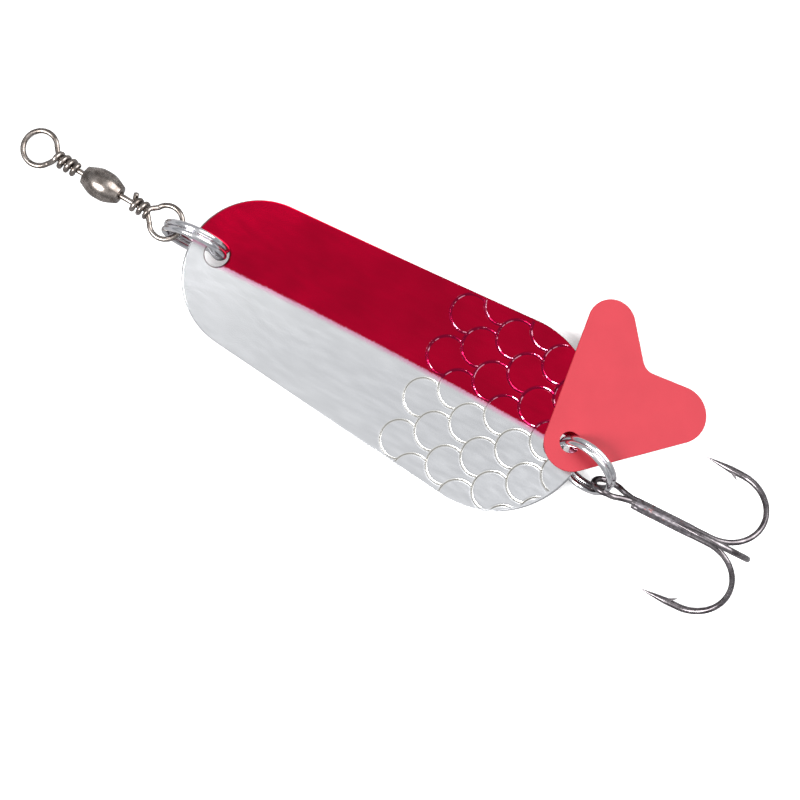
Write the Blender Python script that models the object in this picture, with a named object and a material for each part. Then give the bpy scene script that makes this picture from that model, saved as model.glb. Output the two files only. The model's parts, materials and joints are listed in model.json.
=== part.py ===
"""Spoon lure: a painted and plated blade, a barrel swivel in front, a treble hook and a tail flag behind.

Metres, +Z up. +X runs from the line eye to the hook, and +Y is the painted side of the blade. The origin is
the middle of the blade's belly, on the surface that the lure lies on.
"""

from math import acos, asin, atan2, cos, degrees, radians, sin, sqrt

import bmesh
import bpy
from mathutils import Matrix, Vector

MM = 0.001
AXIS_X = Vector((1, 0, 0))
AXIS_Z = Vector((0, 0, 1))

# Blade: a flat stamping with a wide tail, bent along its length with the belly down.
BLADE_LENGTH = 65.0 * MM
BLADE_HEAD_RADIUS = 11.4 * MM
BLADE_TAIL_RADIUS = 14.7 * MM
BLADE_THICKNESS = 1.2 * MM
BLADE_BEND_RADIUS = 120.0 * MM
BLADE_STRIP = 3.0 * MM
BLADE_HOLE_RADIUS = 1.9 * MM
BLADE_HOLE_X = 28.6 * MM

# Split rings: two flat coils of one wire, side by side.
RING_DIAMETER = 10.4 * MM
RING_WIRE = 0.94 * MM
RING_COIL_PITCH = 0.98 * MM
RING_MEAN_RADIUS = (RING_DIAMETER - RING_WIRE) / 2
RING_STEP_DEG = 34.0
RING_END_GAP_DEG = 14.0

FRONT_RING_CENTRE = Vector((-32.25, 0.25, 5.35)) * MM
FRONT_RING_AZIMUTH = 5.5
FRONT_RING_TILT = 80.0
FRONT_RING_SPLIT = -20.0
REAR_RING_CENTRE = Vector((33.4, -0.55, 5.45)) * MM
REAR_RING_AZIMUTH = -14.6
REAR_RING_TILT = 62.0
REAR_RING_SPLIT = 250.0

# Where a swinging piece bears on its ring. Its empty stands there, on its joint's axis.
SWIVEL_LINK = Vector((-36.958, -0.203, 5.35)) * MM
HOOK_LINK = Vector((37.687, -1.667, 5.45)) * MM

# Barrel swivel: a hollow barrel that holds the headed wires of two eyes.
EYE_WIRE = 0.82 * MM
REAR_EYE_MEAN_RADIUS = 2.5 * MM
REAR_EYE_CENTRE = Vector((-37.3, 0.36, 4.9)) * MM
FRONT_EYE_MEAN_RADIUS = 2.62 * MM
FRONT_EYE_CENTRE = Vector((-59.22, 0.84, 1.05)) * MM
BARREL_TO_EYE = (REAR_EYE_CENTRE - FRONT_EYE_CENTRE).length / 2
BARREL_LENGTH = 6.2 * MM
BARREL_RADIUS = 2.25 * MM
BARREL_SHOULDER_RADIUS = 1.9 * MM
BARREL_END_RADIUS = 1.45 * MM
BARREL_WALL = 0.45 * MM
BARREL_HOLE_RADIUS = 0.62 * MM
HEAD_SCALE = 2.3
HEAD_LENGTH = 0.8 * MM
HEAD_BEVEL = 0.1 * MM
HEAD_CLEARANCE = 0.2 * MM
HEAD_INSET = BARREL_LENGTH / 2 - BARREL_WALL - HEAD_CLEARANCE
EYE_THROAT = (2.0 * MM, 0.9 * MM)
EYE_OPENING_DEG = 30.0
WRAP_SETBACK = 0.35 * MM
WRAP_RADIUS = 0.87 * MM
WRAP_PITCH = 1.12 * MM
WRAP_START = 50.0
FRONT_WRAP_TURNS = 3.3
REAR_WRAP_TURNS = 2.86
CUT_END_FLARE = 1.7

# Treble hook: a double hook whose wire also makes the eye, and a single hook brazed to it.
HOOK_WIRE = 0.9 * MM
HOOK_WIRE_OFFSET = 0.545 * MM
HOOK_ORIGIN = Vector((37.1, -2.0, 5.4)) * MM
HOOK_AZIMUTH = 2.7
HOOK_RISE = 6.9
HOOK_BEND_X = 17.4 * MM
HOOK_BEND_CENTRE = 6.5 * MM
HOOK_BEND_TURN = 181.0
HOOK_POINT_LENGTH = 5.9 * MM
HOOK_TAPER_LENGTH = 4.2 * MM
HOOK_FORGED_SCALE = 1.15
HOOK_TIP_SCALE = 0.12
HOOK_EYE_RADIUS = 1.85 * MM
HOOK_EYE_X = 0.5 * MM
HOOK_NECK = ((5.4 * MM, 1.0), (4.5 * MM, 1.1), (3.2 * MM, 2.2), (2.1 * MM, 3.5))
HOOK_SHANK_START = 5.0 * MM
BARB_LENGTH = 1.5 * MM
BARB_HEIGHT = 1.15 * MM
BARB_HALF_WIDTH = 0.24 * MM
TOP_HOOK = 90.0
PAINTED_SIDE_HOOK = -30.0
PLATED_SIDE_HOOK = 210.0
BRAZE_START = 5.5 * MM
BRAZE_END = 14.6 * MM
BRAZE_GAP = 0.03 * MM
BRAZE_COAT = 0.07 * MM

# Tail flag: a thin tongue with two lobes and a notch between them.
FLAG_HOLE = Vector((29.75, 1.3, 7.5)) * MM
FLAG_AZIMUTH = 72.2
FLAG_SLOPE = 16.5
FLAG_THICKNESS = 0.4 * MM
FLAG_HOLE_RADIUS = 1.6 * MM
FLAG_ROOT = (-0.04 * MM, -0.26 * MM, 4.12 * MM)
FLAG_LONG_LOBE = (17.27 * MM, 8.42 * MM, 3.6 * MM)
FLAG_WIDE_LOBE = (15.15 * MM, -7.99 * MM, 4.32 * MM)
FLAG_NOTCH = (16.02 * MM, -0.02 * MM)
FLAG_NOTCH_RADIUS = 2.3 * MM


def clear_scene():
    for obj in list(bpy.data.objects):
        bpy.data.objects.remove(obj)


def finish(name, colour, roughness, metallic):
    """A Principled material of one colour."""
    material = bpy.data.materials.new(name)
    material.use_nodes = True
    shader = material.node_tree.nodes["Principled BSDF"]
    shader.inputs["Base Color"].default_value = (*colour, 1)
    shader.inputs["Roughness"].default_value = roughness
    shader.inputs["Metallic"].default_value = metallic
    return material


def pivot(name, place, x_axis, z_axis):
    """An empty at a joint, its X along x_axis and its Z as near to z_axis as that allows."""
    x_axis = x_axis.normalized()
    y_axis = z_axis.cross(x_axis).normalized()
    turned = Matrix((x_axis, y_axis, x_axis.cross(y_axis))).transposed()
    obj = bpy.data.objects.new(name, None)
    obj.empty_display_size = 2 * MM
    obj.location = place
    obj.rotation_euler = turned.to_euler()
    bpy.context.collection.objects.link(obj)
    return obj


def place_under(obj, parent, material):
    bpy.context.collection.objects.link(obj)
    obj.data.materials.append(material)
    obj.parent = parent
    return obj


def hang_from(link, origin):
    """Shifts what a link carries, so that its pieces start from origin while the link stays put."""
    for piece in link.children:
        piece.location = link.matrix_basis.inverted() @ origin


def polar(radius, angle):
    """A point of the XY plane, the angle in degrees."""
    return Vector((radius * cos(radians(angle)), radius * sin(radians(angle)), 0))


def spoke(angle):
    """The direction across the X axis at an angle from Y, in degrees."""
    return Vector((0, cos(radians(angle)), sin(radians(angle))))


def spread(start, end, count):
    """count values from start to end, both included."""
    return [start + (end - start) * i / (count - 1) for i in range(count)]


def ease(t):
    """0 to 1 with a flat start and end."""
    t = min(max(t, 0.0), 1.0)
    return t * t * (3 - 2 * t)


def through(points, per_span):
    """A smooth curve through the points (Catmull-Rom)."""
    ends = [2 * points[0] - points[1], *points, 2 * points[-1] - points[-2]]
    curve = []
    for a, b, c, d in zip(ends, ends[1:], ends[2:], ends[3:]):
        square = 2 * a - 5 * b + 4 * c - d
        cube = 3 * b - a - 3 * c + d
        for step in range(per_span):
            t = step / per_span
            curve.append(0.5 * (2 * b + (c - a) * t + square * t**2 + cube * t**3))
    return [*curve, points[-1]]


def wire(name, points, diameter, parent, material, scales=None):
    """A round wire along a path, closed at both ends. scales thicken or thin it point by point."""
    curve = bpy.data.curves.new(name, "CURVE")
    curve.dimensions = "3D"
    curve.bevel_depth = diameter / 2
    curve.bevel_resolution = 2
    curve.use_fill_caps = True
    spline = curve.splines.new("POLY")
    spline.points.add(len(points) - 1)
    for i, place in enumerate(points):
        spline.points[i].co = (*place, 1)
        spline.points[i].radius = scales[i] if scales else 1.0
    guide = bpy.data.objects.new(f"{name}_path", curve)
    shape = bmesh.new()
    shape.from_mesh(bpy.data.meshes.new_from_object(guide))
    bmesh.ops.remove_doubles(shape, verts=shape.verts, dist=0.002 * MM)
    bpy.data.objects.remove(guide)
    return mesh_object(name, shape, parent, material)


def mesh_object(name, shape, parent, material):
    """An object from a bmesh, shaded smooth except at its sharp edges."""
    bmesh.ops.recalc_face_normals(shape, faces=shape.faces)
    mesh = bpy.data.meshes.new(name)
    shape.to_mesh(mesh)
    shape.free()
    mesh.shade_smooth()
    mesh.set_sharp_from_angle(angle=radians(40))
    return place_under(bpy.data.objects.new(name, mesh), parent, material)


def hide_helper(obj):
    obj.hide_render = True
    obj.display_type = "WIRE"
    return obj


def bored(obj, place, direction, radius, depth):
    """Cuts a round hole through obj, given in the frame of obj's parent."""
    shape = bmesh.new()
    bmesh.ops.create_cone(
        shape, cap_ends=True, segments=28, radius1=radius, radius2=radius, depth=depth
    )
    cutter = hide_helper(mesh_object(f"{obj.name}_drill", shape, obj.parent, obj.data.materials[0]))
    cutter.location = place
    cutter.rotation_euler = direction.to_track_quat("Z", "Y").to_euler()
    cut = obj.modifiers.new("hole", "BOOLEAN")
    cut.operation = "DIFFERENCE"
    cut.object = cutter


def blade_point(x, y, height):
    """A point of the bent blade. x runs along the belly from its middle, which lies at Z = 0."""
    angle = x / BLADE_BEND_RADIUS
    reach = BLADE_BEND_RADIUS - height
    middle = BLADE_BEND_RADIUS * cos(BLADE_STRIP / 2 / BLADE_BEND_RADIUS)
    return Vector((reach * sin(angle), y, middle - reach * cos(angle)))


def blade_half_width(x, half_length):
    """Half the blade's width at x: two end circles and the straight sides that touch both."""
    head = half_length - BLADE_HEAD_RADIUS
    tail = half_length - BLADE_TAIL_RADIUS
    flare = asin((BLADE_TAIL_RADIUS - BLADE_HEAD_RADIUS) / (head + tail))
    head_touch = -head - BLADE_HEAD_RADIUS * sin(flare)
    tail_touch = tail - BLADE_TAIL_RADIUS * sin(flare)
    if x < head_touch:
        return sqrt(max(BLADE_HEAD_RADIUS**2 - (x + head) ** 2, 0))
    if x > tail_touch:
        return sqrt(max(BLADE_TAIL_RADIUS**2 - (x - tail) ** 2, 0))
    along = (x - head_touch) / (tail_touch - head_touch)
    return cos(flare) * (BLADE_HEAD_RADIUS + (BLADE_TAIL_RADIUS - BLADE_HEAD_RADIUS) * along)


def blade_stations(half_length):
    """Where the blade is folded: close together round its ends, and at every strip between them."""
    fine = [1 - cos(radians(angle)) for angle in spread(6, 78, 8)]
    head = [BLADE_HEAD_RADIUS * step - half_length for step in fine]
    tail = [half_length - BLADE_TAIL_RADIUS * step for step in reversed(fine)]
    return head + spread(-6.5 * BLADE_STRIP, 5.5 * BLADE_STRIP, 13) + tail


def make_blade(parent, material):
    """Flat strips across the blade, so that the middle one is a true flat face to rest on."""
    half_length = BLADE_BEND_RADIUS * asin(BLADE_LENGTH / 2 / (BLADE_BEND_RADIUS - BLADE_THICKNESS))
    shape = bmesh.new()
    rows = []
    for x in blade_stations(half_length):
        half = blade_half_width(x, half_length)
        corners = ((-half, 0), (half, 0), (half, BLADE_THICKNESS), (-half, BLADE_THICKNESS))
        rows.append([shape.verts.new(blade_point(x, y, height)) for y, height in corners])
    for row, following in zip(rows, rows[1:]):
        for i in range(4):
            shape.faces.new((row[i - 1], row[i], following[i], following[i - 1]))
    shape.faces.new(rows[0])
    shape.faces.new(reversed(rows[-1]))
    blade = mesh_object("spoon_blade", shape, parent, material)
    for side in (-1, 1):
        slope = side * asin(BLADE_HOLE_X / (BLADE_BEND_RADIUS - BLADE_THICKNESS / 2))
        place = blade_point(slope * BLADE_BEND_RADIUS, 0, BLADE_THICKNESS / 2)
        bored(blade, place, Vector((-sin(slope), 0, cos(slope))), BLADE_HOLE_RADIUS, 4 * BLADE_THICKNESS)
    return blade


def ring_pivot(name, centre, azimuth, tilt):
    """X is the ring's level diameter, Y climbs the ring's plane, and Z is its axis."""
    level = polar(1, azimuth)
    climb = polar(cos(radians(tilt)), azimuth + 90) + AXIS_Z * sin(radians(tilt))
    return pivot(name, centre, level, level.cross(climb))


def split_ring(name, split_angle, parent, material):
    """Two turns less a gap: the wire changes coils just before it would meet its own start."""
    end = 720 - RING_STEP_DEG - 2 * RING_END_GAP_DEG
    points = []
    for angle in spread(0, end, 68):
        step = ease((angle - 360 + RING_END_GAP_DEG + RING_STEP_DEG) / RING_STEP_DEG)
        place = polar(RING_MEAN_RADIUS, split_angle + angle)
        points.append(place + AXIS_Z * RING_COIL_PITCH * (step - 0.5))
    return wire(name, points, RING_WIRE, parent, material)


def eye_wire(name, radius, turns, flare, parent, material):
    """The headed wire of one swivel eye. X runs from the middle of the barrel out to the eye."""
    root = BARREL_TO_EYE - radius
    head_start = HEAD_INSET - HEAD_LENGTH
    head = [
        (head_start, 0.8 * HEAD_SCALE),
        (head_start + HEAD_BEVEL, HEAD_SCALE),
        (HEAD_INSET - HEAD_BEVEL, HEAD_SCALE),
        (HEAD_INSET, 1.0),
    ]
    bend = [AXIS_X * (root - back) for back in EYE_THROAT]
    reach = 180 - EYE_OPENING_DEG
    loop = [AXIS_X * BARREL_TO_EYE + polar(radius, angle) for angle in spread(-reach, reach, 17)]
    wrap = []
    for angle in spread(WRAP_START, WRAP_START + 360 * turns, int(9 * turns) + 1):
        along = root - WRAP_SETBACK - WRAP_PITCH * (angle - WRAP_START) / 360
        wrap.append(AXIS_X * along + spoke(angle) * WRAP_RADIUS)
    wrap[-1] = wrap[-1] + spoke(WRAP_START + 360 * turns) * WRAP_RADIUS * (flare - 1)
    path = through(bend + loop + wrap, 2)
    points = [AXIS_X * x for x, _ in head] + path
    scales = [scale for _, scale in head] + [1.0] * len(path)
    return wire(name, points, EYE_WIRE, parent, material, scales)


def turned(name, profile, parent, material):
    """A closed profile of (x, radius) points, turned about X."""
    shape = bmesh.new()
    verts = [shape.verts.new((x, 0, radius)) for x, radius in profile]
    edges = [shape.edges.new((verts[i - 1], verts[i])) for i in range(len(verts))]
    bmesh.ops.spin(
        shape, geom=verts + edges, cent=(0, 0, 0), axis=AXIS_X, angle=radians(360), steps=20, use_merge=True
    )
    return mesh_object(name, shape, parent, material)


def make_barrel(parent, material):
    """A thin barrel, crimped in at both ends round the stems of the two eyes."""
    half = BARREL_LENGTH / 2
    outside = [
        (half, BARREL_HOLE_RADIUS),
        (half, BARREL_END_RADIUS),
        (half * 0.62, BARREL_SHOULDER_RADIUS),
        (half * 0.3, BARREL_RADIUS * 0.985),
        (0, BARREL_RADIUS),
    ]
    inside = [
        (half - BARREL_WALL, BARREL_HOLE_RADIUS),
        (half - BARREL_WALL, HEAD_SCALE * EYE_WIRE / 2 + HEAD_CLEARANCE),
        (0, BARREL_RADIUS - BARREL_WALL),
    ]
    mirrored_outside = [(-x, radius) for x, radius in reversed(outside[:-1])]
    mirrored_inside = [(-x, radius) for x, radius in inside[:-1]]
    profile = outside + mirrored_outside + mirrored_inside + list(reversed(inside))
    return turned("swivel_barrel", profile, parent, material)


def hook_bend(angle):
    """The path of one hook from its shank round to its point, and its thickness along it."""
    out = spoke(angle)
    radius = HOOK_BEND_CENTRE - HOOK_WIRE_OFFSET
    points = []
    scales = []
    for turn in spread(-90, HOOK_BEND_TURN - 90, 17):
        along = HOOK_BEND_X + radius * cos(radians(turn))
        points.append(AXIS_X * along + out * (HOOK_BEND_CENTRE + radius * sin(radians(turn))))
        scales.append(1 + (HOOK_FORGED_SCALE - 1) * max(turn, 0) / (HOOK_BEND_TURN - 90))
    heading = (points[-1] - points[-2]).normalized()
    tip = points[-1] + heading * HOOK_POINT_LENGTH
    points.append(tip - heading * HOOK_TAPER_LENGTH)
    points.append(tip)
    return points, [*scales, HOOK_FORGED_SCALE, HOOK_TIP_SCALE]


def add_barb(hook, angle, parent, material):
    """A sliver raised from the inner side of the point, aiming back into the bend."""
    points, _ = hook_bend(angle)
    heading = (points[-2] - points[-1]).normalized()
    inward = (spoke(angle) * -1 - heading * heading.dot(spoke(angle) * -1)).normalized()
    across = heading.cross(inward)
    root = points[-2] + inward * BARB_HALF_WIDTH / 2
    tip = root + heading * BARB_LENGTH + inward * BARB_HEIGHT
    flat = (root - heading * BARB_LENGTH / 4, root + heading * BARB_LENGTH / 3, tip)
    halves = (-BARB_HALF_WIDTH, BARB_HALF_WIDTH)
    shape = bmesh.new()
    sides = [[shape.verts.new(place + across * side) for place in flat] for side in halves]
    shape.faces.new(sides[0])
    shape.faces.new(reversed(sides[1]))
    for i in range(3):
        shape.faces.new((sides[0][i - 1], sides[0][i], sides[1][i], sides[1][i - 1]))
    barb = hide_helper(mesh_object(f"{hook.name}_barb_{int(angle) % 360}", shape, parent, material))
    weld = hook.modifiers.new("barb", "BOOLEAN")
    weld.operation = "UNION"
    weld.object = barb


def make_double_hook(parent, material):
    """One wire: a hook, its shank, the line of the eye, the second shank and the second hook."""
    across = spoke((TOP_HOOK + PAINTED_SIDE_HOOK) / 2 + 90)
    out = spoke((TOP_HOOK + PAINTED_SIDE_HOOK) / 2) * (HOOK_WIRE_OFFSET * cos(radians(60)))
    apart = HOOK_WIRE_OFFSET * sin(radians(60))
    circle = [polar(HOOK_EYE_RADIUS, angle) for angle in spread(70, 290, 12)]
    loop = [(HOOK_EYE_X + place.x, place.y) for place in circle]
    neck = [(x, apart * share) for x, share in HOOK_NECK]
    outline = neck + loop + [(x, -y) for x, y in reversed(neck)]
    eye = through([AXIS_X * x + across * y + out for x, y in outline], 2)
    first, first_scales = hook_bend(TOP_HOOK)
    second, second_scales = hook_bend(PAINTED_SIDE_HOOK)
    points = first[::-1] + eye + second
    scales = first_scales[::-1] + [1.0] * len(eye) + second_scales
    hook = wire("hook_double_wire", points, HOOK_WIRE, parent, material, scales)
    add_barb(hook, TOP_HOOK, parent, material)
    add_barb(hook, PAINTED_SIDE_HOOK, parent, material)
    return hook


def make_single_hook(parent, material):
    bend, scales = hook_bend(PLATED_SIDE_HOOK)
    start = AXIS_X * HOOK_SHANK_START + spoke(PLATED_SIDE_HOOK) * HOOK_WIRE_OFFSET
    hook = wire("hook_single_wire", [start] + bend, HOOK_WIRE, parent, material, [1.0] + scales)
    add_barb(hook, PLATED_SIDE_HOOK, parent, material)
    return hook


def lobe_reach(angle, radius):
    """How far the outline of the three shank wires, each grown to this radius, is from the shank's axis."""
    across = HOOK_WIRE_OFFSET * sin(radians(angle))
    return HOOK_WIRE_OFFSET * cos(radians(angle)) + sqrt(max(radius**2 - across**2, 0))


def make_braze(parent, material):
    """The solder that fills the valleys between the three shanks, as a sleeve that follows them."""
    inner_radius = HOOK_WIRE / 2 + BRAZE_GAP
    outer_radius = HOOK_WIRE / 2 + BRAZE_COAT
    inner = []
    outer = []
    for angle in range(0, 360, 10):
        from_wire = abs((angle - TOP_HOOK + 60) % 120 - 60)
        flat = (HOOK_WIRE_OFFSET / 2 + outer_radius) / cos(radians(60 - from_wire))
        reach = flat if from_wire > 30 else lobe_reach(from_wire, outer_radius)
        inner.append(spoke(angle) * lobe_reach(from_wire, inner_radius))
        outer.append(spoke(angle) * reach)
    shape = bmesh.new()
    rings = []
    for x, loop in ((BRAZE_START, inner), (BRAZE_START, outer), (BRAZE_END, outer), (BRAZE_END, inner)):
        rings.append([shape.verts.new(AXIS_X * x + place) for place in loop])
    for i in range(4):
        for j in range(len(inner)):
            shape.faces.new((rings[i - 1][j - 1], rings[i - 1][j], rings[i][j], rings[i][j - 1]))
    return mesh_object("hook_braze", shape, parent, material)


def arc(centre, radius, start, end, count):
    """Points on an arc in the XY plane, its angles in degrees."""
    return [Vector((*centre, 0)) + polar(radius, angle) for angle in spread(start, end, count)]


def tangent_angle(first, second):
    """The angle of the outward normal where one straight side touches two circles, both on its left."""
    run = Vector(second[:2]) - Vector(first[:2])
    return degrees(atan2(run.y, run.x)) - 90 - degrees(asin((second[2] - first[2]) / run.length))


def notch_angle(lobe, side):
    """The angle of the outward normal where the line to the notch leaves a lobe."""
    run = Vector(FLAG_NOTCH) - Vector(lobe[:2])
    return degrees(atan2(run.y, run.x)) + side * degrees(acos(lobe[2] / run.length))


def flag_outline():
    """Counter-clockwise: round the root, the wide lobe, the notch and the long lobe."""
    low_side = tangent_angle(FLAG_ROOT, FLAG_WIDE_LOBE)
    high_side = tangent_angle(FLAG_LONG_LOBE, FLAG_ROOT) % 360
    wide_inner = notch_angle(FLAG_WIDE_LOBE, -1)
    long_inner = notch_angle(FLAG_LONG_LOBE, 1)
    sides = polar(1, wide_inner) + polar(1, long_inner)
    half_turn = radians(wide_inner - long_inner) / 2
    notch = Vector((*FLAG_NOTCH, 0)) + sides * FLAG_NOTCH_RADIUS / (2 * cos(half_turn) ** 2)
    outline = arc(FLAG_ROOT[:2], FLAG_ROOT[2], high_side, low_side + 360, 13)
    outline += arc(FLAG_WIDE_LOBE[:2], FLAG_WIDE_LOBE[2], low_side, wide_inner, 12)
    outline += arc(notch[:2], FLAG_NOTCH_RADIUS, wide_inner + 180, long_inner + 180, 6)
    outline += arc(FLAG_LONG_LOBE[:2], FLAG_LONG_LOBE[2], long_inner, high_side, 12)
    return outline


def make_flag(parent, material):
    shape = bmesh.new()
    under = [shape.verts.new(place - AXIS_Z * FLAG_THICKNESS / 2) for place in flag_outline()]
    over = [shape.verts.new(vert.co + AXIS_Z * FLAG_THICKNESS) for vert in under]
    shape.faces.new(reversed(under))
    shape.faces.new(over)
    for i in range(len(under)):
        shape.faces.new((under[i - 1], under[i], over[i], over[i - 1]))
    flag = mesh_object("tail_flag", shape, parent, material)
    bored(flag, Vector(), AXIS_Z, FLAG_HOLE_RADIUS, 4 * FLAG_THICKNESS)
    return flag


def make_front_tackle(bright, gunmetal):
    """The front split ring and the barrel swivel that it carries."""
    ring = ring_pivot("front_ring_pivot", FRONT_RING_CENTRE, FRONT_RING_AZIMUTH, FRONT_RING_TILT)
    split_ring("front_split_ring", FRONT_RING_SPLIT, ring, bright)
    middle = (REAR_EYE_CENTRE + FRONT_EYE_CENTRE) / 2
    forward = FRONT_EYE_CENTRE - REAR_EYE_CENTRE
    spinning = pivot("barrel_pivot", middle, forward, AXIS_Z)
    make_barrel(spinning, gunmetal)
    eye_wire(
        "swivel_front_eye", FRONT_EYE_MEAN_RADIUS, FRONT_WRAP_TURNS, 1.0, spinning, gunmetal
    )
    swinging = pivot("swivel_link", SWIVEL_LINK, -forward, AXIS_Z)
    eye_wire(
        "swivel_rear_eye", REAR_EYE_MEAN_RADIUS, REAR_WRAP_TURNS, CUT_END_FLARE, swinging, gunmetal
    )
    hang_from(swinging, middle)


def make_rear_tackle(bright, gunmetal, solder, plastic):
    """The rear split ring, the treble hook and the tail flag."""
    ring = ring_pivot("rear_ring_pivot", REAR_RING_CENTRE, REAR_RING_AZIMUTH, REAR_RING_TILT)
    split_ring("rear_split_ring", REAR_RING_SPLIT, ring, bright)
    heading = polar(cos(radians(HOOK_RISE)), HOOK_AZIMUTH) + AXIS_Z * sin(radians(HOOK_RISE))
    swinging = pivot("hook_link", HOOK_LINK, heading, AXIS_Z)
    make_double_hook(swinging, gunmetal)
    make_single_hook(swinging, gunmetal)
    make_braze(swinging, solder)
    hang_from(swinging, HOOK_ORIGIN)
    heading = polar(cos(radians(FLAG_SLOPE)), FLAG_AZIMUTH) - AXIS_Z * sin(radians(FLAG_SLOPE))
    flag = pivot("flag_pivot", FLAG_HOLE, heading, AXIS_Z)
    make_flag(flag, plastic)


def make_lure():
    bright = finish("bright_nickel", (0.75, 0.75, 0.74), 0.18, 1.0)
    gunmetal = finish("black_nickel", (0.22, 0.21, 0.2), 0.28, 1.0)
    solder = finish("tin_solder", (0.28, 0.26, 0.25), 0.5, 1.0)
    plated = finish("satin_silver_plate", (0.8, 0.8, 0.78), 0.3, 1.0)
    plastic = finish("red_plastic", (0.85, 0.1, 0.12), 0.45, 0.0)
    blade_frame = pivot("blade_frame", Vector(), AXIS_X, AXIS_Z)
    make_blade(blade_frame, plated)
    make_front_tackle(bright, gunmetal)
    make_rear_tackle(bright, gunmetal, solder, plastic)


clear_scene()
make_lure()
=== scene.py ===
import json
from math import acos, asin, atan2, cos, degrees, pi, radians, sin, sqrt

import bmesh
import bpy
import numpy as np
from mathutils import Matrix, Vector


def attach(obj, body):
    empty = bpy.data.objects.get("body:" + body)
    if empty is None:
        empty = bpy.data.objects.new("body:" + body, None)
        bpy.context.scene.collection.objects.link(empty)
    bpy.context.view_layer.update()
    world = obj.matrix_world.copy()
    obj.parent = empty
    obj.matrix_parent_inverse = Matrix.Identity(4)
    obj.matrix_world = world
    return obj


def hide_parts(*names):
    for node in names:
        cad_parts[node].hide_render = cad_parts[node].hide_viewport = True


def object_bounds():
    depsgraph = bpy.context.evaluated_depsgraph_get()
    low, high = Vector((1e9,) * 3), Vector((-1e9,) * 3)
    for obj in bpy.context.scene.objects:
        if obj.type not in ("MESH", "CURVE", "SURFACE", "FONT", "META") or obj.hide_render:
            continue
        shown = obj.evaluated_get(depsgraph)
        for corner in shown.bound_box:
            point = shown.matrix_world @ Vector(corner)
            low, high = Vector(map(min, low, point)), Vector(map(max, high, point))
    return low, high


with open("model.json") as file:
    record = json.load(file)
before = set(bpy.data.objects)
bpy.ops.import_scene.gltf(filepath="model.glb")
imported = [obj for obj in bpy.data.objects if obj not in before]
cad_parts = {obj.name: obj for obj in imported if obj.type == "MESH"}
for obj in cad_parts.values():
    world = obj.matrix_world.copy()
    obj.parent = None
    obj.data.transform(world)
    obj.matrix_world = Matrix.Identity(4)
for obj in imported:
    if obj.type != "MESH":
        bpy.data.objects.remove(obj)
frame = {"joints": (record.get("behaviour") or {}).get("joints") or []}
CAD_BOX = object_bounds()

MM = 0.001
AXIS_X = Vector((1, 0, 0))
AXIS_Z = Vector((0, 0, 1))
JOINTS = {joint["name"]: joint for joint in frame["joints"]}

# Blade: a stamping with a wide tail, bent along its length with the belly down.
BLADE_LENGTH = 65.0 * MM
BLADE_HEAD_RADIUS = 11.4 * MM
BLADE_TAIL_RADIUS = 14.7 * MM
BLADE_THICKNESS = 1.2 * MM
BLADE_BEND_RADIUS = 120.0 * MM
BLADE_STRIP = 3.0 * MM
BEND_CENTRE_HEIGHT = BLADE_BEND_RADIUS * cos(BLADE_STRIP / 2 / BLADE_BEND_RADIUS)
BLADE_HOLE_RADIUS = 1.9 * MM
BLADE_HOLE_X = 28.6 * MM
BLADE_EDGE_ROUND = 0.1 * MM
BLADE_ROUND_STEPS = 5
BLADE_COARSE_STEP = 1.1 * MM
BLADE_FINE_STEP = 0.108 * MM
BLADE_FINE_START = 4.4 * MM
BLADE_COLUMNS = 270
BLADE_TURN_STEP = radians(2.4)

# Stamped fish scales: arcs that open towards the tail, in two interleaved grids. Each grid is its number of
# columns, its number of rows and the column it starts at.
SCALE_RADIUS = 2.92 * MM
SCALE_COLUMN_PITCH = 3.93 * MM
SCALE_ROW_PITCH = 7.07 * MM
SCALE_FIRST_COLUMN = 8.08 * MM
SCALE_GRIDS = ((4, 4, 0), (3, 5, 1))
SCALE_SHIFT = 0.07 * MM
SCALE_SWEEP = radians(222)
SCALE_GROOVE_HALF = 0.14 * MM
SCALE_LIP_REACH = 0.3 * MM
SCALE_DEPTH = 0.045 * MM
SCALE_LIP = 0.02 * MM

# Lacquer: its masked edge runs from beside the head hole to beside the tail hole, in a slight bow, and steps
# aside at the head end.
MASK_HEAD = (-26.4 * MM, -1.08 * MM)
MASK_TAIL = (24.1 * MM, 0.39 * MM)
MASK_BOW = 0.45 * MM
MASK_BOW_REACH = 26.0 * MM
MASK_WAVER = 0.12 * MM
MASK_DUST = 0.5 * MM
MASK_BLUR = 0.16 * MM
MIST_REACH = 0.9 * MM
SPARED_START = -28.3 * MM
SPARED_END = -28.9 * MM
SPARED_WIDTH = 1.9 * MM

# Split rings: two flat coils of one wire, side by side.
RING_DIAMETER = 10.4 * MM
RING_WIRE = 0.94 * MM
RING_COIL_PITCH = 0.98 * MM
RING_MEAN_RADIUS = (RING_DIAMETER - RING_WIRE) / 2
RING_STEP_DEG = 34.0
RING_END_GAP_DEG = 14.0
FRONT_RING_SPLIT = -20.0
REAR_RING_SPLIT = 250.0

# Barrel swivel: a hollow barrel that holds the headed wires of two eyes.
EYE_WIRE = 0.82 * MM
REAR_EYE_MEAN_RADIUS = 2.5 * MM
FRONT_EYE_MEAN_RADIUS = 2.62 * MM
EYE_THROAT = (2.0 * MM, 0.9 * MM)
EYE_OPENING_DEG = 30.0
BARREL_TO_EYE = 11.1304 * MM
BARREL_LENGTH = 6.2 * MM
BARREL_RADIUS = 2.25 * MM
BARREL_SHOULDER_RADIUS = 1.9 * MM
BARREL_END_RADIUS = 1.45 * MM
BARREL_WALL = 0.45 * MM
BARREL_HOLE_RADIUS = 0.62 * MM
HEAD_SCALE = 2.3
HEAD_LENGTH = 0.8 * MM
HEAD_CLEARANCE = 0.2 * MM
HEAD_BEVEL = 0.1 * MM
HEAD_INSET = BARREL_LENGTH / 2 - BARREL_WALL - HEAD_CLEARANCE
WRAP_SETBACK = 0.35 * MM
WRAP_RADIUS = 0.87 * MM
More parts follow.
